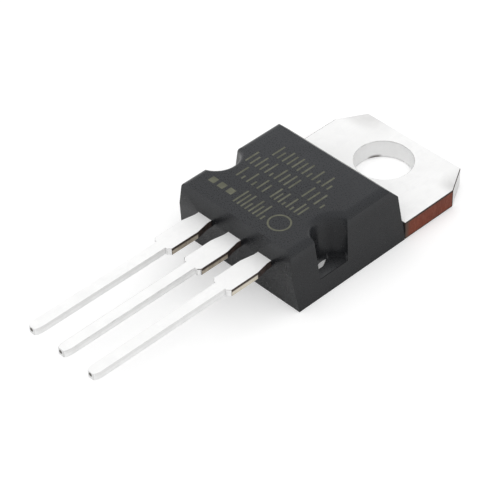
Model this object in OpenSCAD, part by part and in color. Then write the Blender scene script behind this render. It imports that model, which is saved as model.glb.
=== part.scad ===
// Linear voltage regulator in a three-lead flat power package.
// Millimetres. The part lies on its back: +Z is up through the moulding,
// +Y points along the tab, away from the leads, and +X goes across.
// The origin is the centre of the screw hole, on the back face.

/* [Tab] */
// Width of the tab
tab_w = 10.16; // [9.8:0.02:10.6]
// Thickness of the tab
tab_t = 1.3; // [1.1:0.01:1.5]
// Diameter of the screw hole
hole_d = 3.82; // [3.2:0.02:4.2]
// Distance from the hole's centre to the end of the tab
hole_to_end = 2.75; // [2.4:0.05:3.4]
// Distance from the hole's centre to the moulding
hole_to_body = 3.5; // [3:0.05:4.2]
// How far each cut corner of the tab reaches across
corner_cut_x = 1.1; // [0.3:0.05:1.6]
// How far each cut corner of the tab reaches along
corner_cut_y = 1.93; // [0.5:0.01:2.3]

/* [Moulding] */
// Height of the moulding above the back face
body_h = 4.5; // [4.3:0.05:5]
// Length of the moulding, measured on the back face
body_len = 9.1; // [8.9:0.05:9.6]
// Draft of the two long sides, in degrees
side_draft = 5.9; // [3:0.1:9]
// Draft of the end over the tab, in degrees
tab_end_draft = 6; // [2:0.5:8]
// Draft of the lead end below the parting line, in degrees
lower_draft = 7.1; // [3:0.1:9]
// Draft of the lead end above the parting line, in degrees
upper_draft = 4; // [2:0.5:8]
// Height of the bevel over the tab
bevel_h = 1.06; // [0.4:0.02:1.3]
// Length of the bevel over the tab
bevel_len = 1.0; // [0.4:0.02:1.3]
// Height of the small lip where the moulding meets the tab
lip_h = 0.2; // [0.1:0.02:0.3]
// How far that lip stands out
lip_len = 0.16; // [0.05:0.01:0.25]
// Radius of the two long top edges
edge_r = 0.48; // [0.1:0.01:0.6]

/* [Side notches] */
// Distance from the moulding's lead end to the notches' axis
notch_to_end = 3.05; // [2.8:0.05:3.4]
// How far the axis of a notch lies inside the tab's side
notch_inset = 0.03; // [0:0.01:0.2]
// Radius of a notch at its floor
notch_r = 1.17; // [0.8:0.01:1.25]
// Draft of a notch's wall, in degrees
notch_draft = 5.2; // [2:0.1:7]
// Radius of a notch's rim
rim_r = 0.4; // [0.1:0.01:0.5]

/* [Leads] */
// Distance between neighbouring leads
lead_pitch = 2.54; // [2.5:0.01:2.6]
// Thickness of the leads
lead_t = 0.5; // [0.4:0.01:0.6]
// Height of the leads' underside above the back face
lead_under = 2.55; // [2.4:0.01:2.7]
// Length of the leads outside the moulding
lead_len = 13.45; // [12:0.05:14.5]
// Width of a lead's long outer part
lead_w = 0.79; // [0.6:0.01:0.9]
// Width of a lead's shoulder
shoulder_w = 1.48; // [1.2:0.01:1.7]
// Length of the shoulder, from the moulding to its end
shoulder_len = 3.55; // [3:0.05:4]
// Size of the cut corners at the end of the shoulder
shoulder_cut = 0.2; // [0.05:0.01:0.3]
// Width of a lead where it leaves the moulding
root_w = 1.12; // [0.9:0.01:1.2]
// Length of that narrower root
root_len = 0.3; // [0.2:0.05:0.6]
// Length over which the root widens to the shoulder
flare_len = 0.95; // [0.4:0.05:1.2]
// Width of a lead's blunt tip
tip_w = 0.36; // [0.2:0.01:0.5]
// Length of the tapered tip
tip_len = 0.65; // [0.4:0.05:1]

/* [Plate inside the moulding] */
// How far the plate's neck is set in from the tab's sides
neck_in = 1.23; // [1.2:0.01:1.6]
// How far the plate's inner end is set in from the tab's sides
seat_in = 0.83; // [0.75:0.01:1]
// How far before the notches' axis the plate starts to widen
slope_ahead = 0.55; // [0.4:0.05:0.8]
// Length over which the plate widens
slope_len = 0.75; // [0.4:0.05:0.9]
// Moulding between the plate's inner end and the lead end
plate_cover = 2.45; // [2.3:0.05:2.6]
// Height of the step under the plate's hidden edges
lock_h = 0.4; // [0.2:0.05:0.6]
// How far that step is set in
lock_in = 0.3; // [0.15:0.05:0.5]
// Width of the groove across the plate
groove_w = 0.5; // [0.3:0.05:0.8]
// Depth of the groove across the plate
groove_deep = 0.18; // [0.1:0.02:0.3]
// Distance from the moulding's tab end to the groove
groove_back = 1.3; // [1:0.05:1.6]
// Slope of the strap that lifts the centre lead, in degrees
strap_slope = 58; // [54:1:64]
// Inside radius of the strap's bends
strap_r = 0.3; // [0.2:0.05:0.4]

/* [Bond pads] */
// Width of the pad at the inner end of an outer lead
pad_w = 2.3; // [2:0.05:2.6]
// Length of that pad
pad_len = 1.3; // [1:0.05:1.4]
// How far the pad reaches past its lead, on the outer side
pad_out = 0.45; // [0.3:0.05:0.6]
// How deep the pads' outer edge lies inside the moulding
pad_depth = 0.95; // [0.9:0.05:1.1]
// Diameter of the hole that locks a pad in the moulding
lock_hole_d = 0.5; // [0.3:0.05:0.6]

/* [Die] */
// Width of the silicon die
die_w = 2.1; // [1.6:0.05:2.6]
// Length of the silicon die
die_len = 2.6; // [2:0.05:2.9]
// Thickness of the silicon die
die_t = 0.28; // [0.2:0.01:0.4]
// Plate left bare between the die and the plate's inner end
die_back = 1.65; // [1.6:0.05:1.8]
// Thickness of the solder under the die
solder_t = 0.05; // [0.03:0.01:0.1]
// How far the solder shows around the die
solder_rim = 0.15; // [0.05:0.01:0.25]

/* [Bond wires] */
// Diameter of the two power wires
power_wire_d = 0.25; // [0.15:0.01:0.3]
// Diameter of the adjustment wire
signal_wire_d = 0.1; // [0.06:0.01:0.15]
// How far a wire sits inside the edge it is bonded next to
bond_in = 0.4; // [0.35:0.01:0.5]
// Length of a bond's flat foot, in wire diameters
foot_long_ratio = 2.4; // [2:0.1:3]
// Width of a bond's flat foot, in wire diameters
foot_wide_ratio = 1.4; // [1.2:0.1:1.6]
// Height of a bond's flat foot, in wire diameters
foot_high_ratio = 0.6; // [0.5:0.05:0.8]
// Rise of a wire's loop over its chord, as a share of the chord
loop_ratio = 0.24; // [0.15:0.01:0.3]

/* [Hidden] */
// Facet count of a round edge in the preview
round_fn = 64;
// Steps of a bend or of a rounded tip
arc_steps = 6;
// Steps of a notch's rim
rim_steps = 5;
// How far a cutting body passes the face it cuts
over = 1;

// Places along the part
tab_end_y = hole_to_end;
face_y = -hole_to_body;
back_y = face_y - body_len;
notch_y = back_y + notch_to_end;
slope_y = notch_y + slope_ahead;
plate_end_y = back_y + plate_cover;
die_y = plate_end_y + die_back + die_len / 2;

// Heights
lead_top = lead_under + lead_t;
parting_z = lead_under + lead_t / 2;
die_top = tab_t + solder_t + die_t;

// Half widths, and the moulding's side at a height
half_w = tab_w / 2;
neck_x = half_w - neck_in;
seat_x = half_w - seat_in;
function side_x(z) = half_w - z * tan(side_draft);

// The lead end at the parting line, from which the leads are measured
exit_y = back_y - parting_z * tan(lower_draft);
tip_y = exit_y - lead_len;
shoulder_y = exit_y - shoulder_len;
pad_y = exit_y + pad_depth;

// Metals and moulding compound
tin = [0.83, 0.83, 0.85];
epoxy = [0.22, 0.22, 0.23];
silicon = [0.35, 0.36, 0.42];
solder = [0.66, 0.66, 0.68];
wire_metal = [0.8, 0.8, 0.82];

// Points of an arc about c, from angle a to angle b
function arc(c, r, a, b) =
    [for (i = [0 : arc_steps])
        c + r * [cos(a + (b - a) * i / arc_steps), sin(a + (b - a) * i / arc_steps)]];

// The same points in the opposite half, in reverse order
function mirrored(p) = [for (i = [len(p) - 1 : -1 : 0]) [-p[i][0], p[i][1]]];

// Section across the moulding: drafted sides and rounded top edges
module cross_section() {
    round_x = side_x(body_h - edge_r) - edge_r / cos(side_draft);
    touch = [round_x + edge_r * cos(side_draft), body_h - edge_r + edge_r * sin(side_draft)];
    right = [[half_w, 0], touch, [round_x, body_h]];
    union() {
        polygon(concat(right, mirrored(right)));
        for (s = [-1, 1])
            translate([s * round_x, body_h - edge_r]) circle(r = edge_r, $fn = round_fn);
    }
}

// Section along the moulding: both lead-end drafts, the bevel and the lip
module long_section() {
    bevel_y = face_y - lip_len - (body_h - bevel_h - tab_t - lip_h) * tan(tab_end_draft);
    polygon([
        [back_y, 0],
        [face_y, 0],
        [face_y, tab_t],
        [face_y - lip_len, tab_t + lip_h],
        [bevel_y, body_h - bevel_h],
        [bevel_y - bevel_len, body_h],
        [exit_y + (body_h - parting_z) * tan(upper_draft), body_h],
        [exit_y, parting_z]
    ]);
}

// Turns a section drawn in (x, z) into a bar along Y
module along_y() {
    translate([0, tab_end_y, 0]) rotate([90, 0, 0])
        linear_extrude(tab_end_y - tip_y) children();
}

// Turns a section drawn in (y, z) into a bar of width w across X
module along_x(w) {
    translate([-w / 2, 0, 0]) rotate([90, 0, 90]) linear_extrude(w) children();
}

// What the mould's side core leaves: a drafted half-round well. Its soft rim is
// a few narrow cones, the last of them carried on past the top face.
module notch_cutter() {
    well_top = body_h - rim_r + rim_r * sin(notch_draft);
    wall_r = notch_r + (well_top - tab_t) * tan(notch_draft);
    rim_c = [wall_r + rim_r * cos(notch_draft), body_h - rim_r];
    rim = [for (i = [0 : rim_steps])
        let (a = 180 - notch_draft - (90 - notch_draft) * i / rim_steps)
        rim_c + rim_r * [cos(a), sin(a)]];
    before = rim[rim_steps - 1];
    edge = rim[rim_steps];
    beyond = edge + (edge - before) * rim_r / (edge[1] - before[1]);
    rotate_extrude($fn = round_fn) polygon(concat(
        [[0, tab_t], [notch_r, tab_t]],
        [for (i = [0 : rim_steps - 1]) rim[i]],
        [beyond, [0, beyond[1]]]
    ));
}

// The moulding as a full block, before anything inside it is taken away
module moulding_block() {
    difference() {
        intersection() {
            along_y() cross_section();
            along_x(tab_w + 2 * over) long_section();
        }
        for (s = [-1, 1])
            translate([s * (half_w - notch_inset), notch_y, 0]) notch_cutter();
    }
}

// Half outline of a lead in plan, from inner_y outwards to its blunt tip
function lead_side(inner_y) = concat(
    [
        [root_w / 2, inner_y],
        [root_w / 2, exit_y - root_len],
        [shoulder_w / 2, exit_y - root_len - flare_len],
        [shoulder_w / 2, shoulder_y + shoulder_cut],
        [shoulder_w / 2 - shoulder_cut, shoulder_y],
        [lead_w / 2, shoulder_y]
    ],
    tip_side());

// The tip narrows in a quarter curve from the lead's width to the blunt end
function tip_side() = [for (i = [0 : arc_steps])
    let (a = 90 * i / arc_steps)
    [tip_w / 2 + (lead_w - tip_w) / 2 * cos(a), tip_y + tip_len * (1 - sin(a))]];

// The centre lead as a flat blank
module lead_blank(inner_y) {
    side = lead_side(inner_y);
    translate([0, 0, lead_under]) linear_extrude(lead_t)
        polygon(concat(side, mirrored(side)));
}

// An outer lead, drawn for the +X side: one blank with its bond pad, which
// reaches further inwards than outwards, and the pad's locking hole
module outer_lead() {
    side = lead_side(pad_y);
    far_x = root_w / 2 + pad_out;
    near_x = far_x - pad_w;
    end_y = pad_y + pad_len;
    pad = [[near_x, pad_y], [near_x, end_y], [far_x, end_y], [far_x, pad_y]];
    translate([lead_pitch, 0, lead_under]) difference() {
        linear_extrude(lead_t) polygon(concat(side, mirrored(side), pad));
        translate([root_w / 2, pad_y + pad_len / 2, -over])
            cylinder(d = lock_hole_d, h = lead_t + 2 * over, $fn = round_fn);
    }
}
module input_lead() {
    outer_lead();
}
module adjust_lead() {
    mirror([1, 0, 0]) outer_lead();
}

// Half outline of the whole plate in plan
function plate_side() = [
    [half_w - corner_cut_x, tab_end_y],
    [half_w, tab_end_y - corner_cut_y],
    [half_w, face_y],
    [neck_x, face_y],
    [neck_x, slope_y],
    [seat_x, slope_y - slope_len],
    [seat_x, plate_end_y]
];

// Half outline of the strip taken from under the plate's hidden edges
function lock_side() = [
    [neck_x - lock_in, face_y - lock_in],
    [neck_x - lock_in, slope_y],
    [seat_x - lock_in, slope_y - slope_len],
    [seat_x - lock_in, plate_end_y + lock_in]
];

// The plate: stamped outline, screw hole, locking step and groove
module plate() {
    side = plate_side();
    inner = lock_side();
    difference() {
        linear_extrude(tab_t) polygon(concat(side, mirrored(side)));
        translate([0, 0, -over]) cylinder(d = hole_d, h = tab_t + 2 * over, $fn = round_fn);
        translate([-half_w, face_y - groove_back - groove_w / 2, tab_t - groove_deep])
            cube([tab_w, groove_w, groove_deep + over]);
        difference() {
            translate([-half_w, plate_end_y - over, -over])
                cube([tab_w, face_y - lock_in - plate_end_y + over, lock_h + over]);
            translate([0, 0, -over]) linear_extrude(lock_h + 2 * over)
                polygon(concat(inner, mirrored(inner)));
        }
    }
}

// The strap in side view: it leaves the plate flush with the plate's top,
// rises in two bends and ends level with the leads.
module strap_section() {
    low = tab_t - lead_t;
    outer_r = strap_r + lead_t;
    rise = lead_under - low;
    // Height and length that the two bends and the sloped run take up
    bend_h = (strap_r + outer_r) * (1 - cos(strap_slope));
    run_len = (rise - bend_h) / sin(strap_slope);
    reach = (strap_r + outer_r) * sin(strap_slope) + run_len * cos(strap_slope);
    start_y = plate_end_y;
    low_c = [start_y, low + outer_r];
    high_c = [start_y - reach, lead_under - strap_r];
    upper_low = arc(low_c, strap_r, 270, 270 - strap_slope);
    lower_high = arc(high_c, strap_r, 90 - strap_slope, 90);
    polygon(concat(
        [[start_y + over, low], [start_y + over, tab_t]],
        upper_low,
        arc(high_c, outer_r, 90 - strap_slope, 90),
        [[exit_y, lead_top], [exit_y, lead_under]],
        [for (i = [arc_steps : -1 : 0]) lower_high[i]],
        [for (i = [arc_steps : -1 : 0]) arc(low_c, outer_r, 270, 270 - strap_slope)[i]]
    ));
}

// The frame's biggest piece: plate, strap and centre lead in one stamping
module frame_piece() {
    union() {
        plate();
        along_x(root_w) strap_section();
        lead_blank(exit_y + root_len);
    }
}

// Where each wire starts and ends: [x, y, height of the surface]
pad_bond_y = pad_y + pad_len / 2;
pad_bond_x = lead_pitch - root_w / 2;
die_edge_y = die_y - die_len / 2 + bond_in;
adjust_from = [-(die_w / 2 - bond_in), die_edge_y, die_top];
adjust_to = [-pad_bond_x, pad_bond_y, lead_top];
input_from = [die_w / 2 - bond_in, die_edge_y, die_top];
input_to = [pad_bond_x, pad_bond_y, lead_top];
output_from = [0, die_edge_y, die_top];
output_to = [0, die_edge_y - 2 * bond_in - solder_rim - foot_long_ratio * power_wire_d, tab_t];

// A wedge-bonded wire: a flat foot at each end and one round arc between them
module bond_wire(from, to, d) {
    across = norm([to[0] - from[0], to[1] - from[1]]);
    climb = to[2] - from[2];
    chord = norm([across, climb]);
    heading = atan2(to[1] - from[1], to[0] - from[0]);
    rise = loop_ratio * chord;
    loop_r = (chord * chord / 4 + rise * rise) / (2 * rise);
    half_angle = asin(chord / 2 / loop_r);
    tilt = atan2(climb, across);
    drop = loop_r - rise;
    translate(from) rotate([0, 0, heading]) {
        translate([across / 2 + drop * sin(tilt), 0, d / 2 + climb / 2 - drop * cos(tilt)])
            rotate([90, 0, 0]) rotate([0, 0, 90 + tilt - half_angle])
                rotate_extrude(angle = 2 * half_angle, $fn = round_fn)
                    translate([loop_r, 0]) circle(d = d, $fn = round_fn);
        for (end = [[0, 0], [across, climb]])
            translate([end[0] - foot_long_ratio * d / 2, -foot_wide_ratio * d / 2, end[1]])
                cube([foot_long_ratio * d, foot_wide_ratio * d, foot_high_ratio * d]);
    }
}

// Solid under the die, and the die itself
module solder_layer() {
    translate([-die_w / 2 - solder_rim, die_y - die_len / 2 - solder_rim, tab_t])
        cube([die_w + 2 * solder_rim, die_len + 2 * solder_rim, solder_t]);
}
module die_block() {
    translate([-die_w / 2, die_y - die_len / 2, tab_t + solder_t])
        cube([die_w, die_len, die_t]);
}
module adjust_wire() {
    bond_wire(adjust_from, adjust_to, signal_wire_d);
}
module input_wire() {
    bond_wire(input_from, input_to, power_wire_d);
}
module output_wire() {
    bond_wire(output_from, output_to, power_wire_d);
}

// The nine pieces
module moulded_body() {
    color(epoxy) difference() {
        moulding_block();
        frame_piece();
        adjust_lead();
        input_lead();
        solder_layer();
        die_block();
        adjust_wire();
        input_wire();
        output_wire();
    }
}
module tab_and_centre_lead() {
    color(tin) frame_piece();
}
module lead_adjust() {
    color(tin) adjust_lead();
}
module lead_input() {
    color(tin) input_lead();
}
module silicon_die() {
    color(silicon) die_block();
}
module die_attach_solder() {
    color(solder) solder_layer();
}
module bond_wire_adjust() {
    color(wire_metal) adjust_wire();
}
module bond_wire_input() {
    color(wire_metal) input_wire();
}
module bond_wire_output() {
    color(wire_metal) output_wire();
}

moulded_body();
tab_and_centre_lead();
lead_adjust();
lead_input();
silicon_die();
die_attach_solder();
bond_wire_adjust();
bond_wire_input();
bond_wire_output();
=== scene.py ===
import math

import bmesh
import bpy
from mathutils import Matrix, Vector


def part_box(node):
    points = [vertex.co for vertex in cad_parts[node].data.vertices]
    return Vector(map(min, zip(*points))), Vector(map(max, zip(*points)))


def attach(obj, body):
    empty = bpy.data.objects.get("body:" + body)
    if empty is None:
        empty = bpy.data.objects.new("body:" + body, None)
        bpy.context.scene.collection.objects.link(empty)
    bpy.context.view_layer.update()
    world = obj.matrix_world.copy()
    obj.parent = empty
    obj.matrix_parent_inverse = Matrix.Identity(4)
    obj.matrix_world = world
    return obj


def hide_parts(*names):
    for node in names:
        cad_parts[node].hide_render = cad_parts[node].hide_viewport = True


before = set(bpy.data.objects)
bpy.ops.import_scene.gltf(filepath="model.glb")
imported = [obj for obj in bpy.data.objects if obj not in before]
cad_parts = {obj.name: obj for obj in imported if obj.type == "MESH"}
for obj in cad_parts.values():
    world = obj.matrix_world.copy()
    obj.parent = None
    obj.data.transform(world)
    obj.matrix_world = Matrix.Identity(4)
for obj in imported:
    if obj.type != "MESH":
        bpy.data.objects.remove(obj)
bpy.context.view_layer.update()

# ---- Camera: a long lens a hand's breadth away, above the right side of the leads,
# solved from the photograph's straight edges.

camera_data = bpy.data.cameras.new("camera")
picture_wide = 500.0
focal_pixels = 2100.17
camera_data.sensor_width = 36.0
camera_data.lens = focal_pixels * camera_data.sensor_width / picture_wide
camera_data.clip_start = 0.005
camera_data.clip_end = 10.0
camera_turn, camera_rise, camera_tilt = 0.818664, 0.727802, -0.026688    # radians
looked_at = Vector((0.000277756, -0.011964892, 0.0015))
camera_away = 0.125430
towards = Vector((
    math.sin(camera_turn) * math.cos(camera_rise),
    -math.cos(camera_turn) * math.cos(camera_rise),
    math.sin(camera_rise)))
level = (-towards).cross(Vector((0.0, 0.0, 1.0))).normalized()
upright = level.cross(-towards)
image_right = math.cos(camera_tilt) * level + math.sin(camera_tilt) * upright
image_up = -math.sin(camera_tilt) * level + math.cos(camera_tilt) * upright
camera = bpy.data.objects.new("camera", camera_data)
bpy.context.scene.collection.objects.link(camera)
pose = Matrix((image_right, image_up, towards)).transposed().to_4x4()
pose.translation = looked_at + camera_away * towards
camera.matrix_world = pose
bpy.context.scene.camera = camera

# ---- Tinned frame: tab, plate under the die and centre lead, stamped in one piece
# from thick copper strip and tin-plated. The tab's straight sides, the bars between
# the leads and the tips were cut last, so bare copper shows there.

MM = 1000.0    # in a metre: the meshes and the finishes are worked out in mm
tab_thick, tab_side = 1.3, 5.08    # the side is that far from the middle
tab_root = -3.5    # where the moulding stands on the tab
corner_from_x, corner_from_y = 4.0, 0.75    # where a cut corner starts
flare_from, shoulder_from, shoulder_to = -9.0, -14.2, -16.45    # along the leads
lead_pitch, lead_middle = 2.54, 2.8    # across, and half up a lead's thickness
tips_at = -26.35
metal_round_over = 0.045


def worked_copy(node, name, round_over, turns, wanted=None):
    """A copy of a CAD node with its small triangles merged and its outer edges
    rounded over by so many mm. wanted gives an edge's share of that, from 0 to 1.
    The rounded edges come out with the second material."""
    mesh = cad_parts[node].data.copy()
    mesh.materials.clear()
    mesh.transform(Matrix.Scale(MM, 4))
    bm = bmesh.new()
    bm.from_mesh(mesh)
    bmesh.ops.remove_doubles(bm, verts=bm.verts, dist=0.0005)
    bmesh.ops.dissolve_limit(
        bm, angle_limit=math.radians(0.6), verts=bm.verts, edges=bm.edges)
    bm.normal_update()
    weight = bm.edges.layers.float.new("bevel_weight_edge")
    for edge in bm.edges:
        if len(edge.link_faces) != 2:
            continue
        turn = edge.calc_face_angle(0.0)
        if edge.is_convex and turn > math.radians(24.0):
            edge[weight] = 1.0 if wanted is None else wanted(edge)
        if edge[weight] == 0.0 and turn > math.radians(30.0):
            edge.smooth = False
    for face in bm.faces:
        face.smooth = True
    bm.to_mesh(mesh)
    bm.free()
    for old in ("custom_normal", "sharp_face"):
        if old in mesh.attributes:
            mesh.attributes.remove(mesh.attributes[old])
    mesh.materials.append(None)
    mesh.materials.append(None)
    piece = bpy.data.objects.new(name, mesh)
    bpy.context.scene.collection.objects.link(piece)
    bevel = piece.modifiers.new("round_over", "BEVEL")
    bevel.limit_method = "WEIGHT"
    bevel.offset_type = "OFFSET"
    bevel.width = round_over
    bevel.segments = turns
    bevel.profile = 0.5
    bevel.use_clamp_overlap = True
    bevel.miter_outer = "MITER_ARC"
    bevel.material = 1
    flats = piece.modifiers.new("flats", "WEIGHTED_NORMAL")
    flats.mode = "FACE_AREA"
    flats.weight = 100
    flats.keep_sharp = True
    bpy.context.view_layer.update()
    seen = piece.evaluated_get(bpy.context.evaluated_depsgraph_get())
    finished = bpy.data.meshes.new_from_object(seen)
    finished.transform(Matrix.Scale(1.0 / MM, 4))
    piece.modifiers.clear()
    piece.data = finished
    finished.name = name
    bpy.data.meshes.remove(mesh)
    return piece


def fill(tree, socket, value):
    """Links a socket to another one, or sets its number."""
    if isinstance(value, bpy.types.NodeSocket):
        tree.links.new(value, socket)
    elif value is not None:
        socket.default_value = value


def put(tree, kind, *inputs, named=(), **settings):
    """A node, its inputs filled in order or by name with numbers or sockets."""
    made = tree.nodes.new(kind)
    for key, value in settings.items():
        setattr(made, key, value)
    for socket, value in zip(made.inputs, inputs):
        fill(tree, socket, value)
    for key, value in dict(named).items():
        fill(tree, made.inputs[key], value)
    return made


def work_out(tree, operation, *values):
    """The result of one sum."""
    return put(tree, "ShaderNodeMath", *values, operation=operation).outputs[0]


def ramp(tree, value, start, end, first=0.0, last=1.0):
    """first before start, last after end, and a soft S between them."""
    return put(tree, "ShaderNodeMapRange", value, start, end, first, last,
               interpolation_type="SMOOTHSTEP").outputs[0]


def tint(tree, share, under, over):
    """The colour under, changed towards over by share."""
    return put(tree, "ShaderNodeMix", share, None, None, None, None, None, under, over,
               data_type="RGBA").outputs[2]


def grey(value):
    return (value, value, value, 1.0)


def new_group(name, inputs, outputs):
    """An empty shader node group, with its two ends."""
    tree = bpy.data.node_groups.new(name, "ShaderNodeTree")
    for way, sockets in (("INPUT", inputs), ("OUTPUT", outputs)):
        for label, kind in sockets:
            tree.interface.new_socket(label, in_out=way, socket_type="NodeSocket" + kind)
    start, end = tree.nodes.new("NodeGroupInput"), tree.nodes.new("NodeGroupOutput")
    return tree, start.outputs, end.inputs


def use_group(tree, group, *inputs):
    """What a node group gives, its inputs filled in order."""
    return put(tree, "ShaderNodeGroup", *inputs, node_tree=group).outputs


def new_finish(name):
    """A material, its tree, its shader, and where a point is in mm."""
    material = bpy.data.materials.new(name)
    material.use_nodes = True
    tree = material.node_tree
    spot = put(tree, "ShaderNodeTexCoord")
    point = put(tree, "ShaderNodeVectorMath", spot.outputs["Object"], (MM, MM, MM),
                operation="MULTIPLY").outputs[0]
    return material, tree, tree.nodes["Principled BSDF"], point


noise_span = (0.3, 0.7)    # most of what a noise texture gives lies between these


def lay_on(tree, shader, colour, metal, grain, rough, bumps, depth):
    """Ends a finish: its colour, how metallic it is, how rough in the grain's pits
    and on its peaks, and its bumps, so many mm deep."""
    fill(tree, shader.inputs["Base Color"], colour)
    fill(tree, shader.inputs["Metallic"], metal)
    fill(tree, shader.inputs["Roughness"], ramp(tree, grain, *noise_span, *rough))
    bump = put(tree, "ShaderNodeBump", named={
        "Strength": 1.0, "Distance": depth / MM, "Height": bumps})
    fill(tree, shader.inputs["Normal"], bump.outputs[0])


# Fine grain: a pitted surface with slow patches over it, both from 0 to 1.
fine_grain, given, gives = new_group(
    "fine_grain",
    (("Point", "Vector"), ("Grain mm", "Float"), ("Patch mm", "Float")),
    (("Grain", "Float"), ("Patches", "Float")))
per_grain = work_out(fine_grain, "DIVIDE", 1.0, given["Grain mm"])
per_patch = work_out(fine_grain, "DIVIDE", 1.0, given["Patch mm"])
pits = put(fine_grain, "ShaderNodeTexNoise", named={
    "Vector": given["Point"], "Scale": per_grain, "Detail": 2.5, "Roughness": 0.6})
fill(fine_grain, gives["Grain"], pits.outputs[0])
slow = put(fine_grain, "ShaderNodeTexNoise", named={
    "Vector": given["Point"], "Scale": per_patch, "Detail": 3.0, "Roughness": 0.55,
    "Distortion": 0.6})
fill(fine_grain, gives["Patches"], ramp(fine_grain, slow.outputs[0], *noise_span))

# Draw lines: long faint scratches along the strip that the metal came from.
draw_lines, given, gives = new_group(
    "draw_lines",
    (("Point", "Vector"), ("Line mm", "Float"), ("Stretch", "Float")),
    (("Lines", "Float"),))
along = put(draw_lines, "ShaderNodeCombineXYZ", 1.0, given["Stretch"], 1.0).outputs[0]
drawn = put(draw_lines, "ShaderNodeVectorMath", given["Point"], along,
            operation="MULTIPLY")
per_line = work_out(draw_lines, "DIVIDE", 1.0, given["Line mm"])
lines = put(draw_lines, "ShaderNodeTexNoise", named={
    "Vector": drawn.outputs[0], "Scale": per_line, "Detail": 2.0, "Roughness": 0.7})
fill(draw_lines, gives["Lines"], lines.outputs[0])

# Tin plate: satin, nearly white, clouded by handling, with painted shade greying the
# leads' roots next to the moulding.
# It is dark in a small patch low on one side of the screw hole's wall.
tin_plate, tree, shader, point = new_finish("tin_plate")
axes = put(tree, "ShaderNodeSeparateXYZ", point).outputs
grain, clouds = use_group(tree, fine_grain, point, 0.06, 2.2)
dimples = use_group(tree, fine_grain, point, 0.3, 0.7)[1]
strip = use_group(tree, draw_lines, point, 0.09, 0.06)[0]
# painted shade: the tin greys a little on the leads' roots, just in front of the moulding
painted_root_shade = work_out(tree, "MULTIPLY", ramp(tree, axes[1], -13.95, -13.45),
                ramp(tree, axes[1], -12.6, -13.0))
corner_left = work_out(tree, "MULTIPLY", ramp(tree, axes[1], 0.9, 2.4),
                       ramp(tree, axes[0], -1.2, -4.2))
corner_right = work_out(tree, "MULTIPLY", ramp(tree, axes[0], 3.4, 4.9),
                        ramp(tree, axes[1], 0.1, 1.3))
handled = work_out(tree, "MAXIMUM", corner_left, corner_right)
handled = work_out(tree, "MULTIPLY", handled, work_out(tree, "ADD", 0.45, clouds))
# a small dark patch low on one side of the screw hole's wall
hole_patch_place = (-1.72, 0.98, 0.0)
from_hole_patch = put(tree, "ShaderNodeVectorMath", point, hole_patch_place,
                operation="DISTANCE").outputs["Value"]
dark_hole_patch = work_out(tree, "MULTIPLY", ramp(tree, from_hole_patch, 0.62, 0.2),
                   ramp(tree, axes[2], 0.30, 0.06))
tin_colour = tint(tree, clouds, (0.93, 0.93, 0.925, 1.0), (0.975, 0.975, 0.97, 1.0))
for share, over in (
        (ramp(tree, strip, 0.35, 0.7, 0.0, 0.35), grey(0.92)),
        (ramp(tree, dimples, 0.55, 0.95, 0.0, 0.4), grey(0.90)),
        (work_out(tree, "MULTIPLY", handled, 0.85), (0.72, 0.715, 0.71, 1.0)),
        (work_out(tree, "MULTIPLY", painted_root_shade, 0.1), (0.80, 0.80, 0.805, 1.0)),
        (dark_hole_patch, (0.12, 0.105, 0.095, 1.0))):
    tin_colour = tint(tree, share, tin_colour, over)
bumps = work_out(tree, "ADD", grain, work_out(tree, "MULTIPLY", strip, 0.6))
lay_on(tree, shader, tin_colour, 0.2, grain, (0.40, 0.52), bumps, 0.0035)

# The tin on a rounded edge, rubbed thin and grey.
rubbed_tin, tree, shader, point = new_finish("rubbed_tin_edge")
grain, clouds = use_group(tree, fine_grain, point, 0.05, 0.8)
rubbed_colour = tint(tree, clouds, (0.60, 0.595, 0.59, 1.0), (0.78, 0.78, 0.775, 1.0))
lay_on(tree, shader, rubbed_colour, 0.8, grain, (0.38, 0.55), grain, 0.003)

# Bare copper on the cut sides of the tab: sheared, red-brown, dulled, darker along
# both edges and next to the moulding.
cut_copper, tree, shader, point = new_finish("cut_copper")
axes = put(tree, "ShaderNodeSeparateXYZ", point).outputs
grain, clouds = use_group(tree, fine_grain, point, 0.05, 0.9)
sheared = put(tree, "ShaderNodeVectorMath", point, (1.0, 6.0, 0.8), operation="MULTIPLY")
shear = use_group(tree, fine_grain, sheared.outputs[0], 0.35, 1.5)[0]
copper_colour = tint(tree, clouds, (0.165, 0.033, 0.014, 1.0), (0.225, 0.050, 0.022, 1.0))
for share, over in (
        (ramp(tree, shear, 0.45, 0.75, 0.0, 0.6), (0.27, 0.092, 0.058, 1.0)),
        (ramp(tree, axes[2], 0.16, 0.02), (0.05, 0.028, 0.024, 1.0)),
        (ramp(tree, axes[2], 1.15, 1.24, 0.0, 0.9), (0.035, 0.022, 0.018, 1.0)),
        (ramp(tree, axes[1], -3.0, -3.45, 0.0, 0.8), (0.07, 0.062, 0.045, 1.0))):
    copper_colour = tint(tree, share, copper_colour, over)
bumps = work_out(tree, "ADD", grain, shear)
lay_on(tree, shader, copper_colour, 0.6, grain, (0.45, 0.65), bumps, 0.006)

# The dark burr where the shear broke out, and painted shade: the leads' sides next to the
# moulding, the tab's face against it, and the top edges of the leads' broad part.
burr_and_painted_shade, tree, shader, point = new_finish("burr_and_painted_shade")
grain, clouds = use_group(tree, fine_grain, point, 0.05, 0.5)
burr_and_shade_colour = tint(tree, clouds, (0.018, 0.012, 0.010, 1.0), (0.055, 0.034, 0.028, 1.0))
lay_on(tree, shader, burr_and_shade_colour, 0.3, grain, (0.5, 0.7), grain, 0.004)
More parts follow.
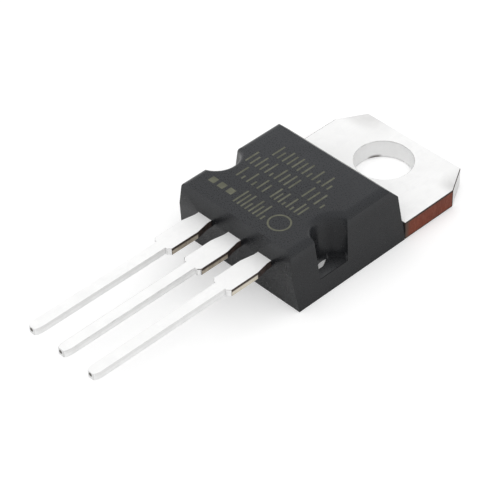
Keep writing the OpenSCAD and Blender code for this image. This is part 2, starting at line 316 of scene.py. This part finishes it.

# The cut bars on the leads' broad part: thin copper stained by the plating bath, with
# painted shade in a dark band just under the top edge. The tips are paler, with a small
# dark core.
cut_bar, tree, shader, point = new_finish("cut_bar")
axes = put(tree, "ShaderNodeSeparateXYZ", point).outputs
grain, clouds = use_group(tree, fine_grain, point, 0.05, 0.7)
core_high = 2.87
at_tip = ramp(tree, axes[1], tips_at + 0.1, tips_at)
from_axis = put(tree, "ShaderNodeCombineXYZ",
                work_out(tree, "PINGPONG", axes[0], lead_pitch / 2),
                work_out(tree, "SUBTRACT", axes[2], core_high)).outputs[0]
from_core = put(tree, "ShaderNodeVectorMath", from_axis,
                operation="LENGTH").outputs["Value"]
core = work_out(tree, "MULTIPLY", at_tip, ramp(tree, from_core, 0.17, 0.09))
bar_colour = tint(tree, clouds, (0.33, 0.265, 0.20, 1.0), (0.60, 0.54, 0.44, 1.0))
for share, over in (
        (ramp(tree, axes[0], 1.6, 2.4, 0.0, 0.75), (0.86, 0.80, 0.68, 1.0)),
        # painted shade: a dark band just under the top edge
        (ramp(tree, axes[2], 2.81, 2.91), (0.05, 0.034, 0.026, 1.0)),
        (at_tip, grey(0.80)),
        (core, (0.10, 0.09, 0.08, 1.0))):
    bar_colour = tint(tree, share, bar_colour, over)
lay_on(tree, shader, bar_colour, 0.4, grain, (0.4, 0.6), grain, 0.005)

# The rolled side of a narrow leg: tin over a shear mark, greyer along its top.
leg_side, tree, shader, point = new_finish("tinned_leg_side")
axes = put(tree, "ShaderNodeSeparateXYZ", point).outputs
grain, clouds = use_group(tree, fine_grain, point, 0.05, 0.9)
side_colour = tint(tree, clouds, (0.90, 0.90, 0.895, 1.0), (0.975, 0.975, 0.97, 1.0))
side_colour = tint(tree, ramp(tree, axes[2], 2.78, 2.90, 0.0, 0.7), side_colour,
                   (0.84, 0.835, 0.83, 1.0))
lay_on(tree, shader, side_colour, 0.2, grain, (0.4, 0.55), grain, 0.003)

metal_finishes = (tin_plate, rubbed_tin, cut_copper, burr_and_painted_shade, cut_bar, leg_side)


def metal_finish(c, normal, rounded):
    """The finish of a face of the metal, by where its centre is in mm, the way it
    faces, and whether it is part of a rounded edge."""
    sideways = abs(normal.x)
    on_shoulder = shoulder_to < c.y < shoulder_from
    if c.y > tab_root + 0.05 and abs(c.x) > tab_side - 0.06:
        return burr_and_painted_shade if rounded else cut_copper
    # painted shade on the tab's face against the moulding
    if abs(c.y - tab_root) < 0.1 and (normal.y < -0.5 or abs(c.x) > tab_side - 0.1):
        return burr_and_painted_shade
    if rounded and c.x > corner_from_x and c.y > corner_from_y and c.z > 0.7 * tab_thick:
        return burr_and_painted_shade
    # painted shade on the leads' sides next to the moulding, out to the broad part
    if shoulder_from < c.y < flare_from and sideways > (0.3 if rounded else 0.9):
        return burr_and_painted_shade
    # painted shade along the top edges of the broad part's sides
    if on_shoulder and rounded and sideways > 0.3 and c.z > lead_middle:
        return burr_and_painted_shade
    if on_shoulder and sideways > 0.9 and not rounded:
        return cut_bar
    if c.y < shoulder_to and sideways > 0.9 and not rounded:
        return leg_side
    if c.y < tips_at and normal.y < -0.9:
        return cut_bar
    return rubbed_tin if rounded else tin_plate


def dress_metal(piece):
    """Plate, rubbed edge or bare cut on each face."""
    mesh = piece.data
    round_faces = [face.material_index == 1 for face in mesh.polygons]
    mesh.materials.clear()
    for finish in metal_finishes:
        mesh.materials.append(finish)
    for face, rounded in zip(mesh.polygons, round_faces):
        face.material_index = metal_finishes.index(
            metal_finish(MM * face.center, face.normal, rounded))


tinned_frame = worked_copy("tab_and_centre_lead", "tinned_frame", metal_round_over, 3)
dress_metal(tinned_frame)
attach(tinned_frame, "root")
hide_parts("tab_and_centre_lead")

# ---- Outer leads: two legs stamped from thinner copper strip with a flat pad at
# the inner end, locked in the moulding by a hole, and tin-plated with the frame.

for node, name in (("lead_adjust", "tinned_adjust_lead"),
                   ("lead_input", "tinned_input_lead")):
    lead = worked_copy(node, name, metal_round_over, 3)
    dress_metal(lead)
    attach(lead, "root")
    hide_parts(node)

# ---- Solder under the die: a thin sheet of soft solder, melted between the die's
# metallised back and the plate, dull grey, with a small rim round the die.

solder_finish, tree, shader, point = new_finish("dull_solder")
grain, clouds = use_group(tree, fine_grain, point, 0.05, 0.5)
solder_colour = tint(tree, clouds, (0.34, 0.34, 0.35, 1.0), (0.58, 0.58, 0.59, 1.0))
bumps = work_out(tree, "ADD", grain, clouds)
lay_on(tree, shader, solder_colour, 0.85, grain, (0.35, 0.6), bumps, 0.006)


def dress_node(node, finish):
    """Gives a CAD node its finish, and leaves its shape alone."""
    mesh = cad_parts[node].data
    if not mesh.materials:
        mesh.materials.append(finish)
    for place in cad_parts[node].material_slots:
        place.material = finish


dress_node("die_attach_solder", solder_finish)

# ---- Die: a chip of silicon sawn from a polished wafer, its top covered by rows of
# the pass transistor's fine metal fingers, under clear glass.

die_finish, tree, shader, point = new_finish("silicon_chip")
axes = put(tree, "ShaderNodeSeparateXYZ", point).outputs
die_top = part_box("silicon_die")[1][2] * MM
grain, clouds = use_group(tree, fine_grain, point, 0.02, 0.4)
fingers = ramp(tree, work_out(tree, "PINGPONG", axes[0], 0.06), 0.022, 0.030)
lanes = ramp(tree, work_out(tree, "PINGPONG", axes[1], 0.42), 0.03, 0.045)
wired = work_out(tree, "MULTIPLY", fingers, lanes)
on_top = ramp(tree, axes[2], die_top - 0.012, die_top - 0.004)
wired = work_out(tree, "MULTIPLY", wired, on_top)
bare_silicon = tint(tree, clouds, (0.085, 0.09, 0.115, 1.0), (0.16, 0.165, 0.20, 1.0))
die_colour = tint(tree, wired, bare_silicon, (0.62, 0.60, 0.55, 1.0))
metal = ramp(tree, wired, 0.0, 1.0, 0.15, 0.9)
bumps = work_out(tree, "ADD", wired, work_out(tree, "MULTIPLY", grain, 0.3))
lay_on(tree, shader, die_colour, metal, grain, (0.16, 0.34), bumps, 0.002)
dress_node("silicon_die", die_finish)

# ---- Bond wires: aluminium wire drawn through dies, pressed onto the die's pads at
# one end and onto the leads' pads or the plate at the other.

wire_finish, tree, shader, point = new_finish("drawn_aluminium")
grain, clouds = use_group(tree, fine_grain, point, 0.015, 0.3)
drawn_line = use_group(tree, draw_lines, point, 0.012, 0.08)[0]
wire_colour = tint(tree, clouds, (0.70, 0.70, 0.715, 1.0), (0.86, 0.86, 0.87, 1.0))
bumps = work_out(tree, "ADD", drawn_line, grain)
lay_on(tree, shader, wire_colour, 0.95, drawn_line, (0.22, 0.4), bumps, 0.0015)
for node in ("bond_wire_adjust", "bond_wire_input", "bond_wire_output"):
    dress_node(node, wire_finish)

# ---- Moulding: black epoxy filled with silica, pressed round the frame in a heated
# mould. The mould's spark-worn walls leave a fine matte grain, and its edges are
# soft. Two pins held the plate, which leaves the notches in the sides.

body_high = 4.5
side_lean = math.tan(math.radians(5.9))
lead_end = -12.55    # every face beyond it belongs to the drafted lead end
tab_end, tab_end_lean = -3.55, 0.12
bevel_from = 3.44    # height where the bevel over the tab starts
notch_x, notch_y, notch_reach = 5.05, -9.55, 1.95    # axis, and just past its rim


def outside(face):
    """Is this one of the moulding's own outer faces, and not a seat inside it?"""
    c = face.calc_center_median()
    side = tab_side - c.z * side_lean
    if c.z < 0.01 or c.z > body_high - 0.01:
        return True
    if abs(c.x) > side - 0.02 or (c.z > 4.0 and abs(c.x) > side - 0.5):
        return True
    if c.y < lead_end:
        return True
    if c.y > tab_end - tab_end_lean * (c.z - tab_thick) - max(0.0, c.z - bevel_from):
        return True
    return math.hypot(abs(c.x) - notch_x, c.y - notch_y) < notch_reach


def soft_edge(edge):
    """The edges round the lead end are three times as soft as the others."""
    if not all(outside(face) for face in edge.link_faces):
        return 0.0
    at_lead_end = all(v.co.y < lead_end + 0.05 for v in edge.verts)
    on_the_back = all(v.co.z <= 0.01 for v in edge.verts)
    return 1.0 if at_lead_end and not on_the_back else 0.35


lead_end_round_over = 0.2
moulding = worked_copy(
    "moulded_body", "epoxy_moulding", lead_end_round_over, 4, soft_edge)

# Black epoxy: matte, with a few silica grains, paler up the sides and on the flat top
# from painted light, with a patchy painted sheen there that is strongest towards the tab,
# and with dust low in the notches.
epoxy, tree, shader, point = new_finish("black_epoxy")
axes = put(tree, "ShaderNodeSeparateXYZ", point).outputs
grain, clouds = use_group(tree, fine_grain, point, 0.08, 1.8)
silica = put(tree, "ShaderNodeTexVoronoi", named={"Vector": point, "Scale": 2.1},
             feature="F1")
speck = ramp(tree, silica.outputs["Distance"], 0.055, 0.03)
slanting = work_out(tree, "SUBTRACT", axes[1], work_out(tree, "MULTIPLY", axes[0], 0.5))
# painted sheen on the flat top, strongest towards the tab end and the far side
painted_sheen = work_out(tree, "MULTIPLY", ramp(tree, axes[2], 4.2, 4.4),
                 ramp(tree, slanting, -11.0, -3.0))
painted_sheen = work_out(tree, "MULTIPLY", painted_sheen, ramp(tree, clouds, 0.0, 1.0, 0.6, 1.0))
from_pin = work_out(tree, "ABSOLUTE", work_out(tree, "SUBTRACT", axes[1], notch_y))
from_middle = work_out(tree, "ABSOLUTE", axes[0])
dust = work_out(tree, "MULTIPLY", ramp(tree, from_pin, 1.45, 1.2),
                ramp(tree, from_middle, 4.93, 4.88))
dust = work_out(tree, "MULTIPLY", dust, ramp(tree, axes[2], 1.75, 1.35))
dust = work_out(tree, "MULTIPLY", dust, ramp(tree, from_middle, 3.9, 4.9, 0.5, 1.0))
dust = work_out(tree, "MULTIPLY", dust, ramp(tree, axes[1], -8.5, -10.5, 0.25, 1.0))
epoxy_colour = tint(
    tree, clouds, (0.0060, 0.0067, 0.0082, 1.0), (0.0098, 0.0104, 0.0118, 1.0))
for share, over in (
        (ramp(tree, grain, 0.35, 0.75, 0.0, 0.35), (0.0150, 0.0158, 0.0170, 1.0)),
        (work_out(tree, "MULTIPLY", speck, 0.5), grey(0.10)),
        # painted light: paler towards the flat top
        (ramp(tree, axes[2], 3.3, 4.35, 0.0, 0.75), (0.0192, 0.0207, 0.0236, 1.0)),
        (painted_sheen, (0.0270, 0.0290, 0.0325, 1.0)),
        (dust, (0.085, 0.087, 0.090, 1.0))):
    epoxy_colour = tint(tree, share, epoxy_colour, over)
bumps = work_out(tree, "ADD", grain, work_out(tree, "MULTIPLY", clouds, 0.5))
lay_on(tree, shader, epoxy_colour, 0.0, grain, (0.25, 0.35), bumps, 0.0016)
shader.inputs["Specular IOR Level"].default_value = 0.31
moulding.data.materials.clear()
moulding.data.materials.append(epoxy)
moulding.data.materials.append(epoxy)
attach(moulding, "root")
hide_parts("moulded_body")

# ---- Laser marks: a laser burnt the resin off the top in thin strokes and left its
# silica as dull grey-green lines. Plain tallies of tall and short strokes stand in
# four rows, and the last row has three squares before it and an empty ring after it.

mark_rows = (
    # from x, to x, foot y, head y, cells
    (-2.50, 2.10, -7.30, -6.20, 6),
    (-3.30, 0.40, -8.80, -7.65, 5),
    (1.50, 3.00, -8.80, -7.65, 2),
    (-2.70, -0.50, -10.15, -9.10, 3),
    (0.20, 2.50, -10.15, -9.10, 4),
    (-1.10, 1.20, -11.95, -10.65, 4))
ring_x, ring_size = 2.25, 0.69
squares_x, square_side = (-3.35, -2.60, -1.85), 0.48
last_row_middle = -11.40

mark_finish, tree, shader, point = new_finish("laser_mark")
grain, clouds = use_group(tree, fine_grain, point, 0.05, 0.5)
burnt_colour = tint(tree, clouds, (0.100, 0.102, 0.073, 1.0), (0.150, 0.151, 0.112, 1.0))
lay_on(tree, shader, burnt_colour, 0.0, grain, (0.65, 0.85), grain, 0.004)
shader.inputs["Specular IOR Level"].default_value = 0.3

tallies = bpy.data.node_groups.new("tally_rows", "GeometryNodeTree")
for label, kind in (("Stroke", "Float"), ("Thick", "Float"), ("Top", "Float"),
                    ("Seed", "Int"), ("Finish", "Material")):
    tallies.interface.new_socket(label, in_out="INPUT", socket_type="NodeSocket" + kind)
tallies.interface.new_socket("Marks", in_out="OUTPUT", socket_type="NodeSocketGeometry")
asked = tallies.nodes.new("NodeGroupInput").outputs
drawn_all = put(tallies, "GeometryNodeJoinGeometry")


def triple(x, y, z):
    return put(tallies, "ShaderNodeCombineXYZ", x, y, z).outputs[0]


def move(shape, x, y, z):
    return put(tallies, "GeometryNodeTransform", named={
        "Geometry": shape.outputs[0], "Translation": triple(x, y, z)}).outputs[0]


half_thick = work_out(tallies, "MULTIPLY", asked["Thick"], 0.5)
mark_middle = work_out(tallies, "MULTIPLY_ADD", asked["Thick"], 0.5, asked["Top"])
for number, (x_from, x_to, foot, head, cells) in enumerate(mark_rows):
    # Two strokes a cell: the first is tall, the second is as long as chance says.
    step = (x_to - x_from) / (2 * cells - 1)
    places = put(tallies, "GeometryNodeMeshLine", named={
        "Count": 2 * cells, "Start Location": triple(x_from, foot, asked["Top"]),
        "Offset": (step, 0.0, 0.0)}, mode="OFFSET")
    bar = put(tallies, "GeometryNodeMeshCube", named={
        "Size": triple(asked["Stroke"], head - foot, asked["Thick"])})
    standing = move(bar, 0.0, (head - foot) / 2, half_thick)
    index = put(tallies, "GeometryNodeInputIndex").outputs[0]
    row_seed = work_out(tallies, "ADD", asked["Seed"], float(number))
    chance = put(tallies, "FunctionNodeRandomValue", data_type="FLOAT", named={
        "ID": index, "Seed": row_seed}).outputs[1]
    second = work_out(tallies, "MODULO", index, 2.0)
    shorter = work_out(
        tallies, "MULTIPLY", second, ramp(tallies, chance, 0.1, 0.9, 0.1, 0.7))
    strokes = put(tallies, "GeometryNodeInstanceOnPoints", named={
        "Points": places.outputs[0], "Instance": standing,
        "Scale": triple(1.0, work_out(tallies, "SUBTRACT", 1.0, shorter), 1.0)})
    fill(tallies, drawn_all.inputs[0], strokes.outputs[0])
for x in squares_x:
    block = put(tallies, "GeometryNodeMeshCube", named={
        "Size": triple(square_side, square_side, asked["Thick"])})
    fill(tallies, drawn_all.inputs[0], move(block, x, last_row_middle, mark_middle))
round_line = put(tallies, "GeometryNodeCurvePrimitiveCircle", named={
    "Resolution": 64, "Radius": ring_size}, mode="RADIUS")
section = put(tallies, "GeometryNodeCurvePrimitiveQuadrilateral", named={
    "Width": asked["Stroke"], "Height": asked["Thick"]}, mode="RECTANGLE")
ring = put(tallies, "GeometryNodeCurveToMesh", named={
    "Curve": round_line.outputs[0], "Profile Curve": section.outputs[0]})
fill(tallies, drawn_all.inputs[0], move(ring, ring_x, last_row_middle, mark_middle))
real = put(tallies, "GeometryNodeRealizeInstances", drawn_all.outputs[0])
painted = put(tallies, "GeometryNodeSetMaterial", named={
    "Geometry": real.outputs[0], "Material": asked["Finish"]})
fill(tallies, tallies.nodes.new("NodeGroupOutput").inputs[0], painted.outputs[0])

marks = bpy.data.objects.new("laser_marks", bpy.data.meshes.new("laser_marks"))
bpy.context.scene.collection.objects.link(marks)
writer = marks.modifiers.new("tally_rows", "NODES")
writer.node_group = tallies
wishes = {
    "Stroke": 0.12, "Thick": 0.004, "Top": body_high, "Seed": 7, "Finish": mark_finish}
for socket in tallies.interface.items_tree:
    if socket.in_out == "INPUT":
        writer[socket.identifier] = wishes[socket.name]
bpy.context.view_layer.update()
written = bpy.data.meshes.new_from_object(
    marks.evaluated_get(bpy.context.evaluated_depsgraph_get()))
written.transform(Matrix.Scale(1.0 / MM, 4))
marks.modifiers.clear()
marks.data = written
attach(marks, "root")

# ---- Floor: a sheet of matte white paper, larger than any view of the part. It is
# lit up a little where the camera sees it, so that it comes out white.

reach = 0.2
floor_mesh = bpy.data.meshes.new("floor")
floor_mesh.from_pydata(
    [(-reach, -reach, 0), (reach, -reach, 0), (reach, reach, 0), (-reach, reach, 0)],
    [], [(0, 1, 2, 3)])
floor = bpy.data.objects.new("floor", floor_mesh)
bpy.context.scene.collection.objects.link(floor)
floor.location.z = -0.00002
paper = bpy.data.materials.new("white_paper")
paper.use_nodes = True
tree = paper.node_tree
shader = tree.nodes["Principled BSDF"]
shader.inputs["Base Color"].default_value = grey(0.82)
shader.inputs["Roughness"].default_value = 0.9
shader.inputs["Emission Color"].default_value = grey(1.0)


def looked_at_share(tree, mirrored):
    """1 where the camera sees it, straight or through glass, as much as mirrored
    says where it shows in a reflection, and 0 where it only lights the part."""
    path = put(tree, "ShaderNodeLightPath").outputs
    in_mirror = work_out(tree, "MULTIPLY", path["Is Glossy Ray"], mirrored)
    return work_out(tree, "MAXIMUM", path["Is Camera Ray"], work_out(
        tree, "MAXIMUM", in_mirror, path["Is Transmission Ray"]))


fill(tree, shader.inputs["Emission Strength"],
     ramp(tree, looked_at_share(tree, 0.3), 0.0, 1.0, 0.0, 0.27))
floor_mesh.materials.append(paper)

# ---- Light: a white room, brighter to look at than as a light, and one soft lamp
# above the leads.

world = bpy.data.worlds.new("studio")
bpy.context.scene.world = world
world.use_nodes = True
tree = world.node_tree
room = tree.nodes["Background"]
room.inputs["Color"].default_value = grey(1.0)
fill(tree, room.inputs["Strength"],
     ramp(tree, looked_at_share(tree, 1.0), 0.0, 1.0, 0.70, 1.0))

lamp_data = bpy.data.lights.new("softbox", "AREA")
lamp_data.shape = "RECTANGLE"
lamp_data.size = 0.45
lamp_data.size_y = 0.45
lamp_data.energy = 0.51
lamp = bpy.data.objects.new("softbox", lamp_data)
lamp.visible_glossy = False
bpy.context.scene.collection.objects.link(lamp)
lamp.location = (0.02, -0.11, 0.27)
lamp_aim = Vector((0.0, -0.010, 0.0)) - Vector(lamp.location)
lamp.rotation_euler = lamp_aim.to_track_quat("-Z", "Y").to_euler()

bpy.context.scene.view_settings.view_transform = "Standard"
